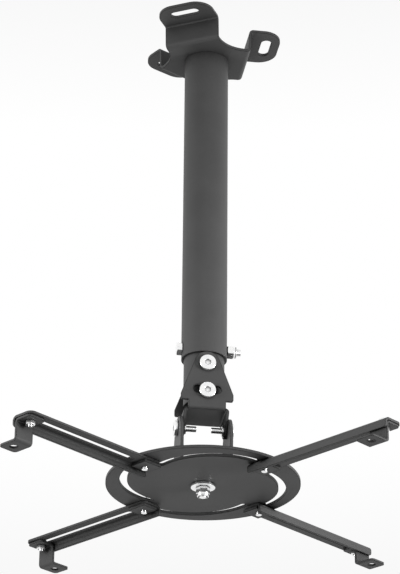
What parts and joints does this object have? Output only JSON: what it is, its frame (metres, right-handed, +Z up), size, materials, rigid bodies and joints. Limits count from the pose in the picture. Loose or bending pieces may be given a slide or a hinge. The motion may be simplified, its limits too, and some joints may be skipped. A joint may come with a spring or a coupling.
{
  "type": "projector ceiling mount",
  "caption": "Telescopic ceiling mount with a winged folded plate, swivel bracket, tilting yoke and a slotted turntable disc with adjustable arms and feet.",
  "frame": {"origin": "on the tube's axis, in the plane of the ceiling that the plate's flanges rest on", "axes": "+Z up into the ceiling, +X along one wing of the ceiling plate, the swivel bolts' heads on the -Y side"},
  "size_m": [0.3434, 0.3434, 0.4425],
  "materials": {
    "powder_coat": "satin",
    "zinc": "satin"
  },
  "bodies": {
    "ceiling": {"ceiling_plate": "powder_coat", "outer_tube": "powder_coat", "height_bolt": "zinc", "height_nut": "zinc"},
    "inner_tube": {"inner_tube": "powder_coat", "swivel_pivot_bolt": "zinc", "swivel_pivot_nut": "zinc", "swivel_lock_bolt": "zinc", "swivel_lock_nut": "zinc"},
    "swivel": {"swivel_bracket": "powder_coat", "tilt_bolt_left": "zinc", "tilt_bolt_right": "zinc", "tilt_nut_left": "zinc", "tilt_nut_right": "zinc"},
    "yoke": {"tilt_yoke": "powder_coat", "centre_bolt": "zinc", "centre_washer": "zinc", "centre_nut": "zinc"},
    "disc": {"turntable_disc": "powder_coat"},
    "arm_pivot_1": {"arm_bolt_1": "zinc"},
    "arm_1": {"arm_1": "powder_coat", "arm_nut_plate_1": "powder_coat"},
    "foot_1": {"foot_1": "powder_coat", "foot_screw_1": "zinc", "foot_nut_1": "zinc"},
    "arm_pivot_2": {"arm_bolt_2": "zinc"},
    "arm_2": {"arm_2": "powder_coat", "arm_nut_plate_2": "powder_coat"},
    "foot_2": {"foot_2": "powder_coat", "foot_screw_2": "zinc", "foot_nut_2": "zinc"},
    "arm_pivot_3": {"arm_bolt_3": "zinc"},
    "arm_3": {"arm_3": "powder_coat", "arm_nut_plate_3": "powder_coat"},
    "foot_3": {"foot_3": "powder_coat", "foot_screw_3": "zinc", "foot_nut_3": "zinc"},
    "arm_pivot_4": {"arm_bolt_4": "zinc"},
    "arm_4": {"arm_4": "powder_coat", "arm_nut_plate_4": "powder_coat"},
    "foot_4": {"foot_4": "powder_coat", "foot_screw_4": "zinc", "foot_nut_4": "zinc"}
  },
  "joints": [
    {"name": "height_slide", "type": "slide", "parent": "ceiling", "child": "inner_tube", "axis": [0, 0, -1], "range_m": [0, 0.21]},
    {"name": "swivel_roll", "type": "hinge", "parent": "inner_tube", "child": "swivel", "pos_m": [0, 0, -0.3223], "axis": [0, 1, 0], "range_deg": [-15, 15]},
    {"name": "tilt_pitch", "type": "hinge", "parent": "swivel", "child": "yoke", "pos_m": [0, 0, -0.3735], "axis": [1, 0, 0], "range_deg": [-15, 15]},
    {"name": "disc_turn", "type": "hinge", "parent": "yoke", "child": "disc", "pos_m": [0, 0, -0.4207], "axis": [0, 0, 1], "continuous": true},
    {"name": "arm_1_travel", "type": "hinge", "parent": "disc", "child": "arm_pivot_1", "pos_m": [0.01245, 0.00677, -0.4207], "axis": [0, 0, 1], "range_deg": [-60, 0]},
    {"name": "arm_1_swing", "type": "hinge", "parent": "arm_pivot_1", "child": "arm_1", "pos_m": [0.05294, 0.04106, -0.4232], "axis": [0, 0, 1], "range_deg": [-30, 30]},
    {"name": "foot_1_slide", "type": "slide", "parent": "arm_1", "child": "foot_1", "axis": [-0.7902, -0.6129, 0], "range_m": [0, 0.085]},
    {"name": "arm_2_travel", "type": "hinge", "parent": "disc", "child": "arm_pivot_2", "pos_m": [-0.00677, 0.01245, -0.4207], "axis": [0, 0, 1], "range_deg": [-60, 0]},
    {"name": "arm_2_swing", "type": "hinge", "parent": "arm_pivot_2", "child": "arm_2", "pos_m": [-0.04106, 0.05294, -0.4232], "axis": [0, 0, 1], "range_deg": [-30, 30]},
    {"name": "foot_2_slide", "type": "slide", "parent": "arm_2", "child": "foot_2", "axis": [0.6129, -0.7902, 0], "range_m": [0, 0.085]},
    {"name": "arm_3_travel", "type": "hinge", "parent": "disc", "child": "arm_pivot_3", "pos_m": [-0.01245, -0.00677, -0.4207], "axis": [0, 0, 1], "range_deg": [-60, 0]},
    {"name": "arm_3_swing", "type": "hinge", "parent": "arm_pivot_3", "child": "arm_3", "pos_m": [-0.05294, -0.04106, -0.4232], "axis": [0, 0, 1], "range_deg": [-30, 30]},
    {"name": "foot_3_slide", "type": "slide", "parent": "arm_3", "child": "foot_3", "axis": [0.7902, 0.6129, 0], "range_m": [0, 0.085]},
    {"name": "arm_4_travel", "type": "hinge", "parent": "disc", "child": "arm_pivot_4", "pos_m": [0.00677, -0.01245, -0.4207], "axis": [0, 0, 1], "range_deg": [-60, 0]},
    {"name": "arm_4_swing", "type": "hinge", "parent": "arm_pivot_4", "child": "arm_4", "pos_m": [0.04106, -0.05294, -0.4232], "axis": [0, 0, 1], "range_deg": [-30, 30]},
    {"name": "foot_4_slide", "type": "slide", "parent": "arm_4", "child": "foot_4", "axis": [-0.6129, 0.7902, 0], "range_m": [0, 0.085]}
  ]
}
